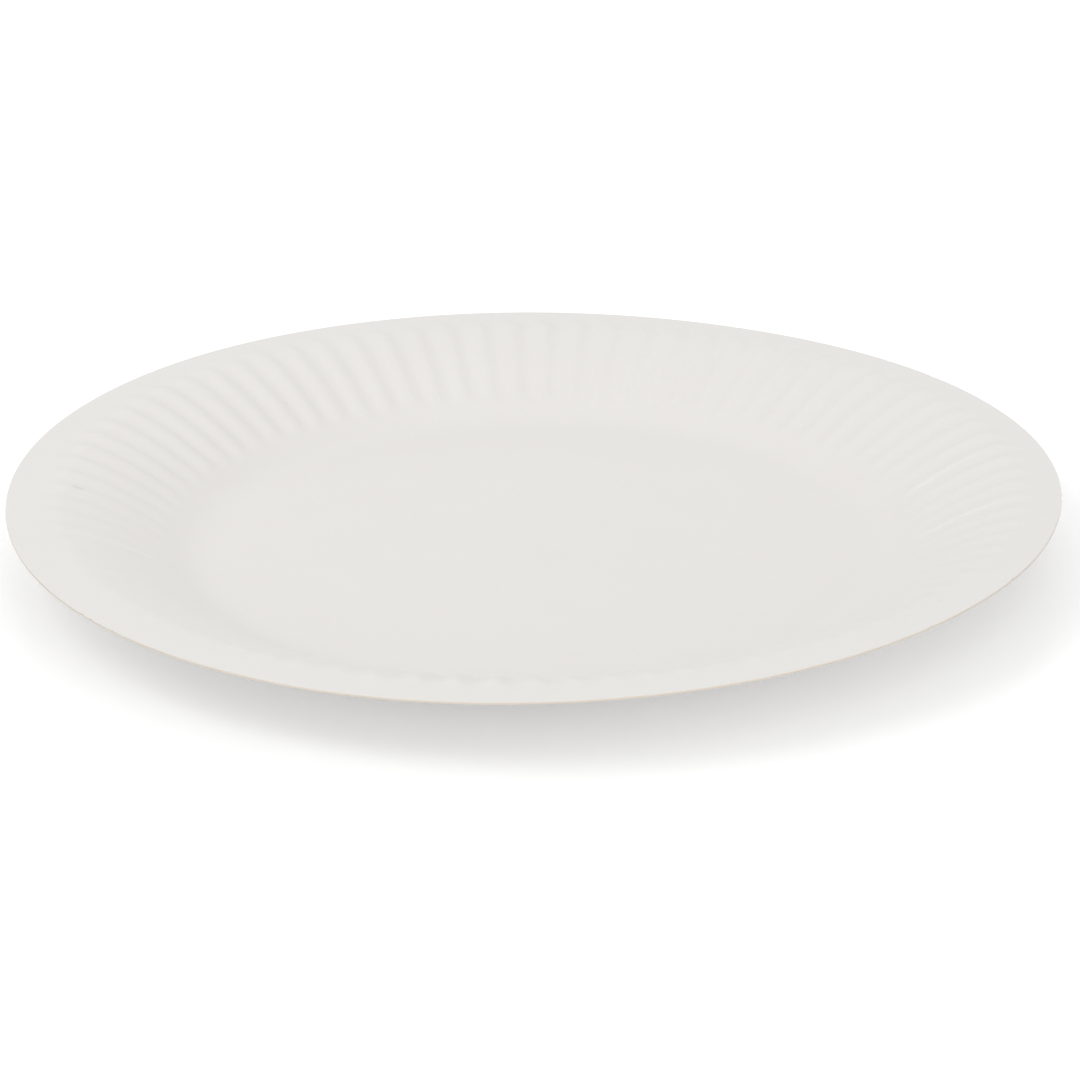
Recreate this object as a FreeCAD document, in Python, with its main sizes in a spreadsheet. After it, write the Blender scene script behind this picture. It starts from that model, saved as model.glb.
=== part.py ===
import FreeCAD, Part
import math
import os

import Sketcher
from FreeCAD import Placement, Rotation, Vector

# A round plate, pressed from one disc of uncoated paperboard between two heated dies.
# The floor is flat. A foot arc turns it up into a sloping wall, a slow flare arc eases the
# slope, and a tight shoulder arc turns it over into a plain lip that is nearly level. A flat
# disc has more board than the drawn-in wall needs, and flutes all round the wall take it up.
#
# Frame: millimetres, +Z up, Z axis through the middle, Z = 0 on the underside of the floor.

UP = Vector(0, 0, 1)
CENTRE = Vector(0, 0, 0)


# Driving sizes
SIZES = [
    ("plate_diameter", 230, "cut edge to cut edge"),
    ("plate_depth", 16, "upper face of the floor to the upper corner of the cut edge"),
    ("board_thickness", 0.45, "one thickness of pressed board"),
    ("wall_angle", 32, "slope of the straight wall, degrees from level"),
    ("shoulder_angle", 18.5, "slope where the flare meets the shoulder"),
    ("lip_angle", 1.5, "rise of the lip towards the cut edge, degrees from level"),
    ("foot_radius", 15.5, "upper face of the board where the floor turns up"),
    ("flare_radius", 66, "slow arc over the upper part of the wall"),
    ("shoulder_radius", 10, "tight arc between the flare and the lip"),
    ("lip_width", 8.8, "from the shoulder to the cut edge"),
    ("flute_count", 84, "flutes round the plate"),
    ("flute_height", 0.46, "bottom of a groove to the top of a ridge"),
    ("flute_run_on", 2.2, "how far the flutes run on from the shoulder into the lip"),
    ("flute_outer_fade", 4.6, "run in which a flute dies out towards the lip"),
    ("flute_inner_fade", 6, "run in which a flute dies out towards the floor"),
    ("ridge_share", 0.6, "how much of a flute's width is ridge, the rest is groove"),
]

# The full-height stretch of a flute is drawn as this many straight strips up the wall.
FULL_STRIPS = 2
# The foot arc is turned as this many narrow cones, each within 0.1 mm of the arc.
FOOT_STRIPS = 3
# Faces whose edges lie this close are sewn together.
SEAM = 0.001

doc = FreeCAD.newDocument("paper_plate")
sheet = doc.addObject("Spreadsheet::Sheet", "Sizes")
for row, (alias, value, meaning) in enumerate(SIZES, start=1):
    sheet.set(f"A{row}", alias)
    sheet.set(f"B{row}", str(value))
    sheet.set(f"C{row}", meaning)
    sheet.setAlias(f"B{row}", alias)
doc.recompute()


# The pressed line: the upper face of the board from the middle to the cut edge, flutes apart
def along_arc(start, radius, slope, new_slope):
    """Where an arc that bulges upwards arrives, inwards from a point, as its slope changes."""
    run = math.sin(new_slope) - math.sin(slope)
    fall = math.cos(slope) - math.cos(new_slope)
    return start - Vector(run, fall) * radius


def draw_board_line():
    """Sketch the upper face as tangent lines and arcs, with every size taken from the sheet."""
    sketch = doc.addObject("Sketcher::SketchObject", "board_line")
    sketch.Placement = Placement(CENTRE, Rotation(Vector(1, 0, 0), 90))
    flat_y = sheet.board_thickness
    wall_slope = math.radians(sheet.wall_angle)
    shoulder_slope = math.radians(sheet.shoulder_angle)
    lip_slope = math.radians(sheet.lip_angle)
    rim = Vector(sheet.plate_diameter / 2, flat_y + sheet.plate_depth)
    lip_in = rim - Vector(1, math.tan(lip_slope)) * sheet.lip_width
    flare_out = along_arc(lip_in, sheet.shoulder_radius, lip_slope, shoulder_slope)
    wall_out = along_arc(flare_out, sheet.flare_radius, shoulder_slope, wall_slope)
    wall_in_y = flat_y + sheet.foot_radius * (1 - math.cos(wall_slope))
    wall_in = Vector(wall_out.x - (wall_out.y - wall_in_y) / math.tan(wall_slope), wall_in_y)
    floor_out = Vector(wall_in.x - sheet.foot_radius * math.sin(wall_slope), flat_y)

    def circle_under(point, radius, slope):
        return Part.Circle(point + Vector(math.sin(slope), -math.cos(slope)) * radius, UP, radius)

    level = math.pi / 2
    floor = sketch.addGeometry(Part.LineSegment(Vector(0, flat_y), floor_out))
    circle = Part.Circle(floor_out + Vector(0, sheet.foot_radius), UP, sheet.foot_radius)
    foot = sketch.addGeometry(Part.ArcOfCircle(circle, -level, wall_slope - level))
    wall = sketch.addGeometry(Part.LineSegment(wall_in, wall_out))
    circle = circle_under(flare_out, sheet.flare_radius, shoulder_slope)
    flare = sketch.addGeometry(Part.ArcOfCircle(circle, level + shoulder_slope, level + wall_slope))
    circle = circle_under(lip_in, sheet.shoulder_radius, lip_slope)
    bend = Part.ArcOfCircle(circle, level + lip_slope, level + shoulder_slope)
    shoulder = sketch.addGeometry(bend)
    lip = sketch.addGeometry(Part.LineSegment(lip_in, rim))

    # Each piece runs into the next without a corner. Arcs count anticlockwise from their start.
    start, end = 1, 2
    sketch.addConstraint(Sketcher.Constraint("Horizontal", floor))
    sketch.addConstraint(Sketcher.Constraint("Tangent", floor, end, foot, start))
    sketch.addConstraint(Sketcher.Constraint("Tangent", foot, end, wall, start))
    sketch.addConstraint(Sketcher.Constraint("Tangent", wall, end, flare, end))
    sketch.addConstraint(Sketcher.Constraint("Tangent", flare, start, shoulder, end))
    sketch.addConstraint(Sketcher.Constraint("Tangent", shoulder, start, lip, start))
    sketch.addConstraint(Sketcher.Constraint("PointOnObject", floor, start, -2))

    def bind(kind, *places, to):
        number = sketch.addConstraint(Sketcher.Constraint(kind, *places))
        sketch.setExpression(f"Constraints[{number}]", to)

    bind("DistanceY", -1, 1, floor, start, flat_y, to="Sizes.board_thickness")
    bind("DistanceY", floor, start, lip, end, sheet.plate_depth, to="Sizes.plate_depth")
    bind("DistanceX", -1, 1, lip, end, rim.x, to="Sizes.plate_diameter / 2")
    bind("DistanceX", lip, start, lip, end, sheet.lip_width, to="Sizes.lip_width")
    bind("Angle", wall, wall_slope, to="Sizes.wall_angle * 1deg")
    bind("Angle", lip, lip_slope, to="Sizes.lip_angle * 1deg")
    bind("Radius", foot, sheet.foot_radius, to="Sizes.foot_radius")
    bind("Radius", flare, sheet.flare_radius, to="Sizes.flare_radius")
    bind("Radius", shoulder, sheet.shoulder_radius, to="Sizes.shoulder_radius")
    bind("DistanceX", shoulder, end, shoulder, start, lip_in.x - flare_out.x,
         to="Sizes.shoulder_radius * (sin(Sizes.shoulder_angle * 1deg)"
            " - sin(Sizes.lip_angle * 1deg))")
    return sketch


board_line = draw_board_line()
doc.recompute()


# Reading the pressed line
FLOOR, FOOT, WALL, FLARE, SHOULDER, LIP = range(6)
line = sorted(board_line.Shape.Edges, key=lambda edge: edge.CenterOfMass.x)


def radius_at(edge, place):
    return edge.valueAt(place).x


def ends_outwards(edge):
    """The parameters of an edge's inner and outer end."""
    return sorted(edge.ParameterRange, key=lambda place: radius_at(edge, place))


def board_point(edge, place, depth):
    """A point of the line, moved down through the board at right angles to it."""
    along = edge.tangentAt(place)
    if along.x < 0:
        along = along * -1
    return edge.valueAt(place) + Vector(along.z, 0, -along.x) * depth


def place_at_radius(radius):
    """The edge of the line that passes this far from the middle, and the parameter there."""
    for edge in line:
        inner, outer = ends_outwards(edge)
        if radius <= radius_at(edge, outer) or edge is line[LIP]:
            break
    for _ in range(50):
        half = (inner + outer) / 2
        if radius_at(edge, half) < radius:
            inner = half
        else:
            outer = half
    return edge, outer


# The flutes: straight ridges and grooves from the foot of the wall to just past the shoulder
pitch = 360 / sheet.flute_count
ridge_half = sheet.ridge_share / 2
flute_inner = radius_at(line[WALL], ends_outwards(line[WALL])[0])
flute_outer = radius_at(line[SHOULDER], ends_outwards(line[SHOULDER])[1]) + sheet.flute_run_on


def arch(low, middle, high, skin, rise):
    """One arch of a ring between two shares of a flute, over or under the plain board."""
    ends = [Rotation(UP, pitch * share).multVec(skin) for share in (low, high)]
    turn = Rotation(UP, pitch * middle)
    if rise.Length == 0:
        return Part.Arc(ends[0], turn.multVec(skin), ends[1]).toShape()
    half_angle = math.radians(pitch * (high - low) / 2)
    apex = Vector(skin.x / math.cos(half_angle), 0, skin.z) + rise * 2
    curve = Part.BezierCurve()
    curve.setPoles([ends[0], turn.multVec(apex), ends[1]])
    return curve.toShape()


def flute_ring(radius, height, depth):
    """One face of the board across one flute: a ridge arch, then the groove beside it.

    The arches meet without a corner because each is as tall as its share of the flute is wide.
    """
    edge, place = place_at_radius(radius)
    skin = board_point(edge, place, depth)
    outward = board_point(edge, place, 0) - board_point(edge, place, 1)
    ridge = arch(-ridge_half, 0, ridge_half, skin, outward * height * sheet.ridge_share)
    fall = outward * height * (sheet.ridge_share - 1)
    groove = arch(ridge_half, 0.5, 1 - ridge_half, skin, fall)
    return Part.Wire([ridge, groove])


def flute_faces(depth):
    """One flute of the upper or lower face, as straight strips from ring to ring."""
    first = flute_inner + sheet.flute_inner_fade
    last = flute_outer - sheet.flute_outer_fade
    radii = [first + (last - first) * number / FULL_STRIPS for number in range(FULL_STRIPS + 1)]
    rings = [flute_ring(flute_inner, 0, depth)]
    rings += [flute_ring(radius, sheet.flute_height, depth) for radius in radii]
    rings += [flute_ring(flute_outer, 0, depth)]
    return Part.makeLoft(rings, False, True).Faces


# The plain board
def turned_faces(points):
    """Straight pieces from point to point, turned all the way round from where a ridge starts."""
    path = Part.makePolygon(points)
    path.rotate(CENTRE, UP, -pitch * ridge_half)
    return path.revolve(CENTRE, UP, 360).Faces


def plain_faces(depth):
    """Floor, foot and the lip outside the flutes, at a depth in the board."""
    faces = []
    for number, strips in ((FLOOR, 1), (FOOT, FOOT_STRIPS), (LIP, 1)):
        edge = line[number]
        inner, outer = ends_outwards(edge)
        if number == LIP:
            inner = place_at_radius(flute_outer)[1]
        places = [inner + (outer - inner) * step / strips for step in range(strips + 1)]
        faces += turned_faces([board_point(edge, place, depth) for place in places])
    return faces


def cut_edge():
    """The narrow cut face of the board round the outside."""
    rim = line[LIP]
    outer = ends_outwards(rim)[1]
    return turned_faces([board_point(rim, outer, depth) for depth in (0, sheet.board_thickness)])


def press_board():
    """Both faces of the board and its cut edge, sewn into one solid."""
    faces = cut_edge()
    for depth in (0, sheet.board_thickness):
        faces += plain_faces(depth)
        flute = flute_faces(depth)
        for number in range(round(sheet.flute_count)):
            faces += [face.rotated(CENTRE, UP, number * pitch) for face in flute]
    skin = Part.makeCompound(faces)
    skin.sewShape(SEAM)
    return Part.makeSolid(skin.Shells[0])


plate = doc.addObject("Part::Feature", "plate")
plate.Label = "plate"
plate.Shape = press_board()
plate.Placement = Placement(CENTRE, Rotation())
doc.recompute()


# Checks, then the file of the one sub-part
for item in doc.Objects:
    for state in item.State:
        if state in ("Invalid", "Error"):
            raise RuntimeError(f"{item.Label} is {state}")

os.makedirs("parts", exist_ok=True)
for item in [plate]:
    shape = item.Shape
    if shape.isNull() or not shape.isValid() or len(shape.Solids) != 1:
        raise RuntimeError(f"{item.Label} is not one sound solid")
    box = shape.BoundBox
    print(f"{item.Label}: {box.XLength:.2f} x {box.YLength:.2f} x {box.ZLength:.2f} mm,"
          f" {shape.Volume:.0f} mm3, {len(shape.Faces)} faces")
    shape.exportStep(f"parts/{item.Label}.step")
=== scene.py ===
# %% [markdown]
# # A pressed paper plate
# One disc of thick, uncoated, off-white paperboard is pressed between two heated dies. The
# floor stays flat, a foot arc turns it up into a sloping wall, and the wall rolls over into a
# plain narrow lip. A flat disc has too much board for the drawn-in wall, so the dies gather it
# into many straight flutes. Here the plate gets one dense mesh and one paper material, on top
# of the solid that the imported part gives.

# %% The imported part
import math

import bpy
import numpy as np
from mathutils import Matrix, Vector


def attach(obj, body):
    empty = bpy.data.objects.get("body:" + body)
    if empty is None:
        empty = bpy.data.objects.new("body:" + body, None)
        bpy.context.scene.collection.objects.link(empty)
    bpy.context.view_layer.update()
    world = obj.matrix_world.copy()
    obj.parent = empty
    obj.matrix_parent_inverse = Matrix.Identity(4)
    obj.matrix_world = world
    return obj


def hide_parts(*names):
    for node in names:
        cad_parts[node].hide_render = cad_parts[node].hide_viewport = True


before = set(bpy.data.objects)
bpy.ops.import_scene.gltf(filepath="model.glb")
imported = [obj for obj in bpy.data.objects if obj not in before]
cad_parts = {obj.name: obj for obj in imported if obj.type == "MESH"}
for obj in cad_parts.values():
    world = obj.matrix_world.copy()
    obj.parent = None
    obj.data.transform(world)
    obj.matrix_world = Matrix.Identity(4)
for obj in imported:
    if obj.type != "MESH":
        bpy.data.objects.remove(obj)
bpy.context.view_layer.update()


# %% [markdown]
# ## The sizes of the pressing
# A pressed board is known by its section: a line from the middle to the cut edge. We could read
# points off a picture of it, but a few tangent lines and arcs say the same with a handful of
# sizes, just as the tool maker would cut the dies. All lengths are in metres.

# %% Sizes
MM = 0.001
RIM_RADIUS = 115.0 * MM
DEPTH = 16.0 * MM
BOARD = 0.45 * MM
WALL_SLOPE = math.radians(32.0)
SHOULDER_SLOPE = math.radians(18.5)
LIP_SLOPE = math.radians(1.5)
FOOT_RADIUS = 15.5 * MM
FLARE_RADIUS = 66.0 * MM
SHOULDER_RADIUS = 10.0 * MM
LIP_WIDTH = 8.8 * MM

FLUTES = 84
FLUTE_SWING = 0.34 * MM
FLUTE_STARTS = (81.4 * MM, 83.9 * MM)
FLUTE_ENDS = (104.6 * MM, 108.8 * MM)
PRESS_SHIFT = 1.0 * MM

rng = np.random.default_rng(84)
print("plate", 2 * RIM_RADIUS / MM, "mm across,", FLUTES, "flutes")


# %% [markdown]
# ## The section
# Each row of the mesh is a circle round the plate, so the section is sampled at a list of
# places. Rows are close together where the board bends and where the flutes are, and far apart
# on the flat floor. At each place we also keep the direction at right angles to the board,
# because the flutes rise along it and the underside lies one thickness below along it.

# %% Points of the section
LIP_SHARES = (0.07, 0.2, 0.4, 0.6, 0.8, 0.92, 1.0)
SHOULDER_ROWS = 8
FLARE_ROWS = 14
WALL_ROWS = 10
FOOT_ROWS = 9
FLOOR_ROWS_MM = (65, 56, 45, 34, 24, 16, 10, 6, 3, 1)


def bend(start, slope, new_slope, radius, steps):
    """Rows of an arc that runs inwards and down from a point, as the slope changes."""
    made = []
    for turn in np.linspace(slope, new_slope, steps + 1)[1:]:
        r = start[0] - radius * abs(math.sin(turn) - math.sin(slope))
        z = start[1] - radius * abs(math.cos(turn) - math.cos(slope))
        made.append((r, z, turn))
    return made


def run_in(start, slope, run, shares):
    """Rows of a straight piece that runs inwards and down from a point."""
    return [(start[0] - run * share, start[1] - run * share * math.tan(slope), slope)
            for share in shares]


def section():
    """Radius, height and slope of the upper face, row by row from the middle to the edge."""
    path = [(RIM_RADIUS, BOARD + DEPTH, LIP_SLOPE)]
    path += run_in(path[-1], LIP_SLOPE, LIP_WIDTH, LIP_SHARES)
    path += bend(path[-1], LIP_SLOPE, SHOULDER_SLOPE, SHOULDER_RADIUS, SHOULDER_ROWS)
    path += bend(path[-1], SHOULDER_SLOPE, WALL_SLOPE, FLARE_RADIUS, FLARE_ROWS)
    fall = path[-1][1] - BOARD - FOOT_RADIUS * (1 - math.cos(WALL_SLOPE))
    wall_run = fall / math.tan(WALL_SLOPE)
    path += run_in(path[-1], WALL_SLOPE, wall_run, np.linspace(0, 1, WALL_ROWS + 1)[1:])
    path += bend(path[-1], WALL_SLOPE, 0.0, FOOT_RADIUS, FOOT_ROWS)
    path += [(r * MM, BOARD, 0.0) for r in FLOOR_ROWS_MM]
    return np.array(path[::-1])


rows = section()
print(len(rows), "rows, floor flat to", round(rows[len(FLOOR_ROWS_MM)][0] / MM, 2), "mm, highest",
      round(rows[:, 1].max() / MM, 2), "mm")


# %% [markdown]
# ## Smooth steps and slow waves
# Two small helpers shape everything that fades or wavers on the plate. One goes from 0 to 1
# between two places without a corner. The other is a slow random wave round the rim, made from a
# few whole-number sines, so that it closes on itself.

# %% Helpers for fades and wavers
def fade(value, start, end):
    """0 before start, 1 after end, and a soft slope between them."""
    share = np.clip((value - start) / (end - start), 0, 1)
    return share * share * (3 - 2 * share)


def slow_wave(angle, lowest, highest):
    """A closed random wave round the plate, about 1 at its strongest."""
    total = np.zeros_like(angle)
    for turns in range(lowest, highest + 1):
        total += rng.normal() * np.cos(turns * angle + rng.uniform(0, 2 * math.pi))
    return total / np.abs(total).max()


# %% [markdown]
# ## The flutes
# Dies never gather the board quite evenly. Every flute is a rounded ridge beside a slightly wider
# groove, straight down the wall, and it dies out before the floor and before the lip. Each one is
# a little taller or weaker than the next, and starts and ends at its own place. The board also
# slips as it is gathered, so the flutes drift by up to a third of their spacing. The back of this
# plate was pressed a little harder than its front, so the flutes are taller there and reach
# further out. On both sides of the near middle they nearly vanish, and in that middle they are
# tall again. The further out, the more board there is to gather, so every flute deepens
# outwards. We could lay a bump texture over a plain wall, but real relief gives the scalloped
# light of the real plate from every side and in the exported mesh.

# %% How hard each flute was pressed
STEPS_PER_FLUTE = 8
COLUMNS = FLUTES * STEPS_PER_FLUTE
angles = np.arange(COLUMNS) * 2 * math.pi / COLUMNS
flute_turn = angles * FLUTES


def per_flute(low, high):
    """A random value for each flute, blended from one flute to the next."""
    values = rng.uniform(low, high, FLUTES)
    place = np.arange(COLUMNS) / STEPS_PER_FLUTE
    here = np.floor(place).astype(int)
    share = fade(place - here, 0, 1)
    return values[here % FLUTES] * (1 - share) + values[(here + 1) % FLUTES] * share


def facing(turn, sharpness):
    """1 towards a direction, falling off on both sides of it."""
    return np.maximum(np.cos(angles - math.radians(turn)), 0) ** sharpness


EVEN_PRESS = 0.98
BACK_HARDER = 0.14
BACK_TURN = math.radians(70)
TWO_SIDED = 0.10
TWO_SIDED_TURN = math.radians(310)
# each weak place: direction in degrees, sharpness, and the share of the height that is missing
WEAK_PLACES = ((208, 8, 0.66), (238, 14, 0.35), (-46, 5, 0.70))
TALL_TURN = 263
TALL_SHARPNESS = 50
TALL_EXTRA = 0.45
LEAST_STRENGTH, MOST_STRENGTH = 0.88, 1.12
SLOW_STRENGTH = 0.08

pressed_hard = (EVEN_PRESS + BACK_HARDER * np.cos(angles - BACK_TURN)
                - TWO_SIDED * np.cos(2 * angles - TWO_SIDED_TURN))
share_left = 1.0
for turn, sharpness, missing in WEAK_PLACES:
    share_left = share_left - missing * facing(turn, sharpness)
pressed_hard *= share_left
pressed_hard += TALL_EXTRA * facing(TALL_TURN, TALL_SHARPNESS)
strength = (per_flute(LEAST_STRENGTH, MOST_STRENGTH)
            * (1 + SLOW_STRENGTH * slow_wave(angles, 2, 7)) * pressed_hard)
print("strength of the flutes", round(strength.min(), 2), "to", round(strength.max(), 2))


# %% Where each flute starts, ends and lies
START_SPREAD_MM = 0.5
END_SPREAD_MM = 0.7
END_OUT_MM = 0.2
END_BACK_MM = 0.9
# the drift is in radians, a full turn being one flute's spacing
DRIFT_ONCE, DRIFT_ONCE_TURN = 1.61, math.radians(28)
DRIFT_TWICE, DRIFT_TWICE_TURN = 0.52, math.radians(116)
NEAR_SLIP, NEAR_SLIP_TURN, NEAR_SLIP_SHARPNESS = 1.9, 268, 14
FIRST_FLUTE = 4.11
SLOW_DRIFT = 0.10

shift_in = per_flute(-START_SPREAD_MM, START_SPREAD_MM) * MM
shift_out = (END_OUT_MM + END_BACK_MM * np.sin(angles)
             + per_flute(-END_SPREAD_MM, END_SPREAD_MM)) * MM
drift = (DRIFT_ONCE * np.cos(angles + DRIFT_ONCE_TURN)
         + DRIFT_TWICE * np.cos(2 * angles - DRIFT_TWICE_TURN))
lean = (drift - NEAR_SLIP * facing(NEAR_SLIP_TURN, NEAR_SLIP_SHARPNESS) - FIRST_FLUTE
        + SLOW_DRIFT * slow_wave(angles, 1, 5))
spread = (lean - lean.mean()) / (2 * math.pi)
print("drift", round(spread.min(), 2), "to", round(spread.max(), 2), "of a flute's spacing")


# %% Relief of the flutes
RIDGE_NARROWS = 0.04
SHALLOW_SHARE = 0.80
DEEPENS_BY = 0.32
DEEPENS_OVER = (82 * MM, 106 * MM)


def relief(radius):
    """Height of the fluted face above the plain section, for one row all round."""
    rise = fade(radius, FLUTE_STARTS[0] + shift_in, FLUTE_STARTS[1] + shift_in)
    fall = 1 - fade(radius, FLUTE_ENDS[0] + shift_out, FLUTE_ENDS[1] + shift_out)
    turn = flute_turn + lean
    wave = np.cos(turn) + RIDGE_NARROWS * (np.cos(2 * turn) - 1)
    deeper = SHALLOW_SHARE + DEEPENS_BY * fade(radius, *DEEPENS_OVER)
    return FLUTE_SWING * deeper * strength * rise * fall * wave


print("a flute of plain strength swings", round(2 * FLUTE_SWING / MM, 2), "mm")


# %% [markdown]
# ## A thin board is never quite true
# A plate like this lies flat on its floor, but its rim is sprung a little, high on two opposite
# sides and low between them, like a very weak saddle. The waver stays inside the box of the
# solid, so the rim only ever drops below the true line, and it drops a hair more to leave room
# for the crests of the flutes. The blank didn't lie quite in the middle of the dies either: the
# whole pressing sits a millimetre to one side of the cut circle, and the lip is wider opposite.

# %% Waver of the rim
SADDLE = 0.86 * MM
SADDLE_TURN = math.radians(-64.0)
CREST_ROOM = 0.16 * MM
SMALL_WAVER_MM = 0.06
WAVER_OVER = (72.5 * MM, 108 * MM)
SHIFT_ENDS_OVER = (104 * MM, 115 * MM)

small_waver = slow_wave(angles, 3, 8) * SMALL_WAVER_MM * MM
rim_waver = SADDLE * np.cos(2 * angles - SADDLE_TURN) + small_waver
rim_waver -= rim_waver.max() + CREST_ROOM


def waver(radius):
    """How far a row is moved up or down, none on the floor and all of it at the lip."""
    return rim_waver * fade(radius, *WAVER_OVER)


def sideways(radius):
    """How far a row lies to one side, all of it on the pressing and none at the cut edge."""
    return PRESS_SHIFT * (1 - fade(radius, *SHIFT_ENDS_OVER))


print("rim waver", round(rim_waver.min() / MM, 2), "to", round(rim_waver.max() / MM, 2), "mm")


# %% [markdown]
# ## The mesh of the board
# The upper face is the section with the relief laid on it, the underside lies one thickness
# below, and a narrow cut face joins them at the rim. The cut face gets rows of its own: the
# punch rounds the upper corner a little and leaves the fibres slightly ragged, with a small nick
# here and there.

# %% Rows of the board
NICKS = 16
NICK_DEPTH = 0.22 * MM
RAGGED_MM = 0.02
# each row of the cut face: depth below the upper face, and how far in it lies
CUT_ROWS_MM = ((0.10, 0.0), (0.28, 0.0), (0.40, 0.03))
CUT_IN_MM = 0.03
UPPER_CORNER_IN_MM = 0.07
LOWER_CORNER_IN_MM = 0.08


def ring_points(radius, height, offset, slope):
    """One row of points all round, moved along the direction at right angles to the board."""
    r = radius - offset * math.sin(slope)
    z = height + offset * math.cos(slope) + waver(radius)
    return np.stack([r * np.cos(angles) + sideways(radius), r * np.sin(angles), z], axis=1)


def cut_face(upper_rim, lower_rim):
    """Rows of the ragged and nicked cut face; it draws the two rims beside it in to match."""
    edge_r, edge_z, edge_slope = rows[-1]
    ragged = (slow_wave(angles, 20, 60) * 0.5 + slow_wave(angles, 90, 160) * 0.5) * RAGGED_MM * MM
    nicks = np.zeros(COLUMNS)
    nicks[rng.integers(0, COLUMNS, NICKS)] = NICK_DEPTH * rng.uniform(0.5, 1.0, NICKS)
    made = []
    for depth, inset in CUT_ROWS_MM:
        ring = ring_points(edge_r, edge_z, -depth * MM, edge_slope)
        pull = 1 - (inset * MM + CUT_IN_MM * MM + ragged + nicks) / edge_r
        ring[:, :2] *= pull[:, None]
        made.append(ring)
    upper_rim[:, :2] *= (1 - (UPPER_CORNER_IN_MM * MM + nicks) / edge_r)[:, None]
    lower_rim[:, :2] *= (1 - (LOWER_CORNER_IN_MM * MM + nicks) / edge_r)[:, None]
    return made


upper = [ring_points(r, z, relief(r), slope) for r, z, slope in rows]
lower = [ring_points(r, z, relief(r) - BOARD, slope) for r, z, slope in rows]
cut = cut_face(upper[-1], lower[-1])
rings = upper + cut + lower[::-1]
print(len(rings), "rows of", COLUMNS, "points")


# %% Board mesh
def band_faces(ring):
    """The faces between one row and the next."""
    first = ring * COLUMNS
    made = []
    for column in range(COLUMNS):
        after = (column + 1) % COLUMNS
        made.append((first + column, first + COLUMNS + column,
                     first + COLUMNS + after, first + after))
    return made


def middle_faces():
    """Triangles that close the floor, above and below, round a point in its middle."""
    middle = len(rings) * COLUMNS
    last = (len(rings) - 1) * COLUMNS
    made = []
    for column in range(COLUMNS):
        after = (column + 1) % COLUMNS
        made.append((middle, column, after))
        made.append((middle + 1, last + after, last + column))
    return made


def board_mesh():
    """The whole board as one closed mesh, with its cut face in the second material."""
    middles = [[[PRESS_SHIFT, 0.0, BOARD]], [[PRESS_SHIFT, 0.0, 0.0]]]
    points = np.concatenate(rings + middles)
    faces = []
    for ring in range(len(rings) - 1):
        faces += band_faces(ring)
    faces += middle_faces()
    mesh = bpy.data.meshes.new("pressed_board")
    mesh.from_pydata([tuple(p) for p in points], [], faces)
    for ring in range(len(upper) - 1, len(upper) + len(cut)):
        for column in range(COLUMNS):
            mesh.polygons[ring * COLUMNS + column].material_index = 1
    return mesh


SHARP_TURN = math.radians(35)

board = board_mesh()
board.shade_smooth()
board.set_sharp_from_angle(angle=SHARP_TURN)
plate = bpy.data.objects.new("pressed_plate", board)
bpy.context.scene.collection.objects.link(plate)
plate["triangles"] = sum(len(face.vertices) - 2 for face in board.polygons)
print("board mesh:", plate["triangles"], "triangles")

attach(plate, "root")
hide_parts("plate")


# %% [markdown]
# ## Writing shader maths as Python
# A material is a graph of nodes. Wiring it by hand is slow to read, so one small class wraps an
# output socket and gives it the usual operators: `1 - mask * 0.2` then adds its Math nodes.

# %% Sockets with operators
class Signal:
    """An output socket of a material, on which + - * and / work."""

    def __init__(self, tree, socket):
        self.tree = tree
        self.socket = socket

    def node(self, kind, settings=None, output=0, **inputs):
        """Adds a node: its settings first, then the values or links of its sockets.

        A socket is given by its name, or as i0, i1 and so on where only its place tells it.
        """
        made = self.tree.nodes.new(kind)
        for name, value in (settings or {}).items():
            setattr(made, name, value)
        for name, value in inputs.items():
            numbered = name[0] == "i" and name[1:].isdigit()
            socket = made.inputs[int(name[1:]) if numbered else name.replace("_", " ")]
            if isinstance(value, Signal):
                self.tree.links.new(value.socket, socket)
            else:
                socket.default_value = value
        return Signal(self.tree, made.outputs[output])

    def maths(self, operation, first, second):
        """A Math node on two numbers or signals."""
        return self.node("ShaderNodeMath", {"operation": operation}, i0=first, i1=second)

    def __add__(self, other):
        return self.maths("ADD", self, other)

    def __sub__(self, other):
        return self.maths("SUBTRACT", self, other)

    def __mul__(self, other):
        return self.maths("MULTIPLY", self, other)

    def __rsub__(self, other):
        return self.maths("SUBTRACT", other, self)

    def __truediv__(self, other):
        return self.maths("DIVIDE", self, other)

    __radd__ = __add__
    __rmul__ = __mul__


def new_material(name):
    """A material with its node tree, its shader and a signal of the object's own coordinates."""
    material = bpy.data.materials.new(name)
    material.use_nodes = True
    tree = material.node_tree
    shader = tree.nodes["Principled BSDF"]
    coordinates = tree.nodes.new("ShaderNodeTexCoord").outputs["Object"]
    return material, shader, Signal(tree, coordinates)


def feed(shader, name, signal):
    """Links a signal to a named socket of a shader."""
    signal.tree.links.new(signal.socket, shader.inputs[name])


print("signals ready")


# %% [markdown]
# ## Uncoated board
# The face of the board is matte, warm off-white pulp. Close to, it has a very faint cloudiness
# from the way the fibres settle, a fine grain, and a few stray specks. A few flutes carry a thin,
# broken pale line, a painted highlight for a pinched crease catching the light; one has a dark
# scuff.
# These marks are kept to the upper face. A picture of paper could be laid on, but noise in the
# plate's own coordinates has no seams and no edge where it stops.

# %% Noise, mixes and streaks
def noise(at, scale, detail=2.0, roughness=0.5):
    """Soft noise between 0 and 1, with features about 1 / scale metres wide."""
    return at.node("ShaderNodeTexNoise", {"noise_dimensions": "3D"},
                   Vector=at, Scale=scale, Detail=detail, Roughness=roughness)


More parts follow.
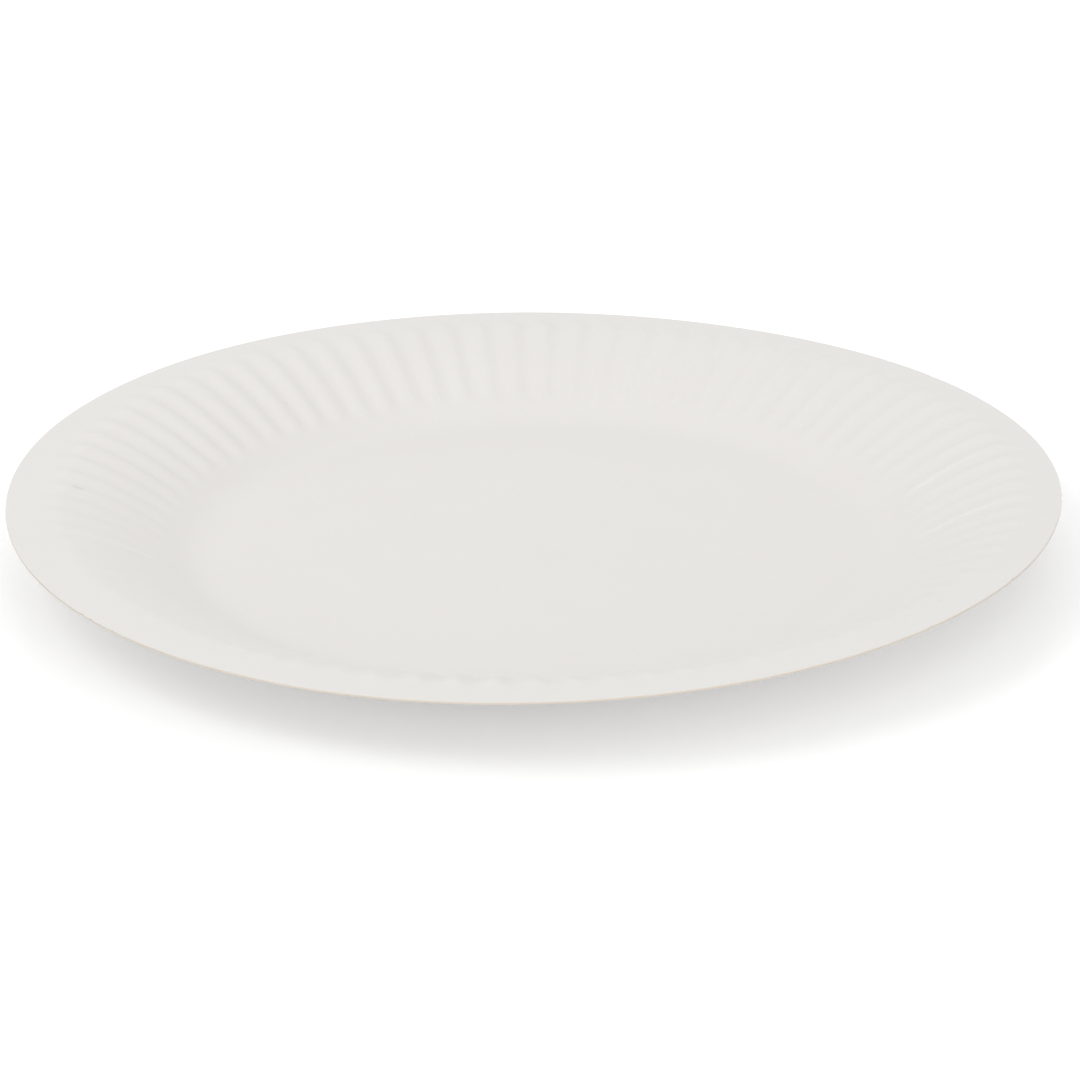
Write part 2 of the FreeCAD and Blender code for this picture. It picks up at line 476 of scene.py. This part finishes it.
def mix_colours(share, first, second):
    """A colour between two, by a share from 0 to 1."""
    return share.node("ShaderNodeMix", {"data_type": "RGBA"}, output=2,
                      i0=share, i6=first, i7=second)


def soft_ramp(value, zero_at, one_at):
    """0 before one place, 1 after another, and a soft slope between them."""
    return value.node("ShaderNodeMapRange", {"clamp": True, "interpolation_type": "SMOOTHSTEP"},
                      i0=value, i1=zero_at, i2=one_at, i3=0.0, i4=1.0)


def streak(at, turn, first, last, half_width):
    """1 along a thin line straight outwards from the middle of the pressing, and 0 elsewhere.

    The turn is in degrees from +X, and the line's two ends and half width are in millimetres.
    """
    first, last, half_width = first * MM, last * MM, half_width * MM
    cosine, sine = math.cos(math.radians(turn)), math.sin(math.radians(turn))
    x = at.node("ShaderNodeSeparateXYZ", output=0, Vector=at) - PRESS_SHIFT
    y = at.node("ShaderNodeSeparateXYZ", output=1, Vector=at)
    along = x * cosine + y * sine
    across = y * cosine - x * sine
    end_fade = 0.25 * (last - first)
    start = soft_ramp(along, first, first + end_fade)
    stop = 1 - soft_ramp(along, last - end_fade, last)
    middle = 1 - soft_ramp(across * across / half_width ** 2, 0.0, 1.0)
    return start * stop * middle


print("helpers for the board's face ready")


# %% Face of the board
PULP = (0.803, 0.788, 0.762, 1.0)
PULP_DARK = (0.774, 0.753, 0.720, 1.0)
FLECK = (0.52, 0.46, 0.38, 1.0)
# the colour of the painted highlight along the creases, light that a thin crease would catch
PAINTED_CREASE_HIGHLIGHT = (0.880, 0.864, 0.840, 1.0)
SCUFFED = (0.690, 0.668, 0.637, 1.0)
# each mark: degrees from +X, nearer end, farther end and half width in millimetres
CREASES = ((9.9, 81, 103, 0.75), (-7.4, 82, 107, 0.60),
           (-23.2, 87, 103, 0.50), (193.2, 80, 107, 0.45))
SCUFF = (179.0, 99.5, 102.7, 1.2)
SCUFF_STRENGTH = 0.65
CREASE_STRENGTH = 0.95
CREASE_GAPS = 0.22

face_board, face_shader, face_at = new_material("board_face")
clouds = noise(face_at, 60.0, 3.0, 0.55)
grain = noise(face_at, 1400.0, 2.0, 0.6)
tone = (clouds - 0.5) * 0.5 + (grain - 0.5) * 0.6 + 0.3
base = mix_colours(tone, PULP, PULP_DARK)
specks = noise(face_at, 420.0, 1.0, 0.4)
speck_mask = specks.node("ShaderNodeMapRange", {"clamp": True},
                         Value=specks, From_Min=0.81, From_Max=0.86, To_Min=0.0, To_Max=0.22)
paint = mix_colours(speck_mask, base, FLECK)
normal = face_at.node("ShaderNodeNewGeometry", output=1)
upwards = face_at.node("ShaderNodeSeparateXYZ", output=2, Vector=normal)
on_top = upwards.maths("GREATER_THAN", upwards, 0.0)
# painted highlight: a broken mask along the crease lines, kept to the upper face
crease_highlight_mask = (noise(face_at, 190.0, 2.0, 0.5) - CREASE_GAPS) * CREASE_STRENGTH * on_top
for crease in CREASES:
    paint = mix_colours(streak(face_at, *crease) * crease_highlight_mask, paint, PAINTED_CREASE_HIGHLIGHT)
paint = mix_colours(streak(face_at, *SCUFF) * SCUFF_STRENGTH * on_top, paint, SCUFFED)
feed(face_shader, "Base Color", paint)
feed(face_shader, "Roughness", 0.80 + (grain - 0.5) * 0.16)
fibre = noise(face_at, 900.0, 3.0, 0.6)
tooth = fibre.node("ShaderNodeBump", {}, Strength=0.35, Distance=0.00004,
                   Height=fibre + clouds * 0.6)
feed(face_shader, "Normal", tooth)
face_shader.inputs["Specular IOR Level"].default_value = 0.25
print("face of the board made")


# %% [markdown]
# ## The cut edge
# The punch lays open the inside of the board, which is browner and rougher than its face. It
# is a hair thin, but it draws a warm line round the whole plate.

# %% Cut edge of the board
EDGE_LIGHT = (0.79, 0.73, 0.65, 1.0)
EDGE_DARK = (0.67, 0.59, 0.50, 1.0)

cut_board, cut_shader, cut_at = new_material("board_cut")
patches = noise(cut_at, 160.0, 3.0, 0.6)
fibres = noise(cut_at, 2600.0, 2.0, 0.6)
feed(cut_shader, "Base Color", mix_colours(patches * 0.7 + fibres * 0.3, EDGE_LIGHT, EDGE_DARK))
feed(cut_shader, "Roughness", 0.9 + (fibres - 0.5) * 0.1)
ragged_bump = fibres.node("ShaderNodeBump", {}, Strength=0.5, Distance=0.00005, Height=fibres)
feed(cut_shader, "Normal", ragged_bump)
cut_shader.inputs["Specular IOR Level"].default_value = 0.15
board.materials.append(face_board)
board.materials.append(cut_board)
print("cut edge made")


# %% [markdown]
# ## Table and light
# The plate lies on a plain white table in a soft studio. A broad pale sky lights it from all
# round, and seven large weak lamps stand round it as a studio's soft boxes and white walls do.
# One lamp would be simpler, but it gives far too much contrast: on the real plate the flutes
# show clearly on one side and nearly vanish on the other, so the light there comes from almost
# everywhere and is only a little uneven. The table gives off some light of its own that only
# the camera sees, straight or in a shiny or clear surface. So it reads as white and still keeps
# the plate's soft shadow.

# %% Table
def seen_directly(tree):
    """1 for what the camera sees, straight or in a shiny or clear surface, and 0 for soft light."""
    rays = tree.nodes.new("ShaderNodeLightPath").outputs
    seen = Signal(tree, rays["Is Camera Ray"])
    for kind in ("Is Glossy Ray", "Is Transmission Ray"):
        seen = seen.maths("MAXIMUM", seen, Signal(tree, rays[kind]))
    return seen


TABLE_RADIUS = 3.0
TABLE_CORNERS = 96
TABLE_BELOW = 0.0002
TABLE_PALE = (0.80, 0.80, 0.80, 1.0)
TABLE_PALEST = (0.82, 0.82, 0.82, 1.0)
TABLE_GLOW = 0.32
NO_LIGHT = (0.0, 0.0, 0.0, 1.0)
WHITE_LIGHT = (1.0, 1.0, 1.0, 1.0)


def make_table():
    """A wide pale disc under the plate."""
    turns = [2 * math.pi * n / TABLE_CORNERS for n in range(TABLE_CORNERS)]
    ring = [(TABLE_RADIUS * math.cos(turn), TABLE_RADIUS * math.sin(turn), 0.0) for turn in turns]
    mesh = bpy.data.meshes.new("table")
    mesh.from_pydata(ring, [], [tuple(range(TABLE_CORNERS))])
    made = bpy.data.objects.new("table", mesh)
    bpy.context.scene.collection.objects.link(made)
    return made


table = make_table()
table.location.z = -TABLE_BELOW

table_paint, table_shader, table_at = new_material("white_table")
table_mottle = noise(table_at, 8.0, 2.0, 0.5)
feed(table_shader, "Base Color", mix_colours(table_mottle, TABLE_PALE, TABLE_PALEST))
glow = mix_colours(seen_directly(table_paint.node_tree), NO_LIGHT, WHITE_LIGHT)
feed(table_shader, "Emission Color", glow)
table_shader.inputs["Emission Strength"].default_value = TABLE_GLOW
table_shader.inputs["Roughness"].default_value = 0.9
table_shader.inputs["Specular IOR Level"].default_value = 0.0
table.data.materials.append(table_paint)
print("table made")


# %% Light
SKY_LIGHT = 0.648
LAMP_SIZE = 1.0
LAMP_FAR = 1.8
# each lamp: name, degrees round from +X, degrees up, and power in watts
LAMPS = (("behind", 90, 29, 5.1), ("low_front_left", 245, 18, 3.6), ("low_front", 270, 18, 1.4),
         ("low_front_right", 295, 18, 2.2), ("low_right", 340, 18, 2.6),
         ("high_left", 195, 50, 6.3), ("high_front_right", 295, 50, 2.6))

world = bpy.data.worlds.new("studio")
bpy.context.scene.world = world
world.use_nodes = True
sky = world.node_tree
background = sky.nodes["Background"]
sky_strength = seen_directly(sky) * (1 - SKY_LIGHT) + SKY_LIGHT
sky.links.new(sky_strength.socket, background.inputs["Strength"])
background.inputs["Color"].default_value = WHITE_LIGHT


def soft_lamp(name, turn, lift, power):
    """A square lamp that faces the plate, some degrees round from +X and some degrees up."""
    turn, lift = math.radians(turn), math.radians(lift)
    towards = Vector((math.cos(lift) * math.cos(turn), math.cos(lift) * math.sin(turn),
                      math.sin(lift)))
    lamp = bpy.data.lights.new(name, "AREA")
    lamp.shape = "SQUARE"
    lamp.size = LAMP_SIZE
    lamp.energy = power
    made = bpy.data.objects.new(name, lamp)
    made.location = towards * LAMP_FAR
    made.rotation_euler = towards.to_track_quat("Z", "Y").to_euler()
    bpy.context.scene.collection.objects.link(made)


for lamp in LAMPS:
    soft_lamp(*lamp)
print("sky and", len(LAMPS), "lamps made")


# %% [markdown]
# ## Camera
# The plate is seen from about 21 degrees above the table, from far enough away that it looks
# nearly flat in perspective. The picture is 1080 pixels wide and high, the lens is 3873 of them
# long, and the plate's axis lies a little to the left of its middle and above it.

# %% Camera
CAMERA_LIFT = math.radians(21.48)
CAMERA_FAR = 0.850
CAMERA_ROLL = math.radians(-0.68)
FRAME = 1080
SENSOR = 36.0
LENS = SENSOR * 3873 / FRAME
AXIS_X, AXIS_Y = 533.3, 481.5
AIM = Vector((0.0, 0.0, 0.01539))

camera_data = bpy.data.cameras.new("camera")
camera = bpy.data.objects.new("camera", camera_data)
bpy.context.scene.collection.objects.link(camera)
camera_data.sensor_width = SENSOR
camera_data.lens = LENS
camera_data.shift_x = (FRAME / 2 - AXIS_X) / FRAME
camera_data.shift_y = (AXIS_Y - FRAME / 2) / FRAME
camera_data.clip_start = 0.05
camera_data.clip_end = 20.0
camera.location = AIM + CAMERA_FAR * Vector((0, -math.cos(CAMERA_LIFT), math.sin(CAMERA_LIFT)))
look = (AIM - camera.location).to_track_quat("-Z", "Y").to_matrix().to_4x4()
camera.matrix_world = (Matrix.Translation(camera.location) @ look
                       @ Matrix.Rotation(CAMERA_ROLL, 4, "Z"))
bpy.context.scene.camera = camera
bpy.context.scene.view_settings.view_transform = "Standard"
print("camera at", [round(c, 4) for c in camera.location])


# %% [markdown]
# ## The end
# The dressed plate has to stay inside the box of its solid.

# %% The end
bpy.context.view_layer.update()
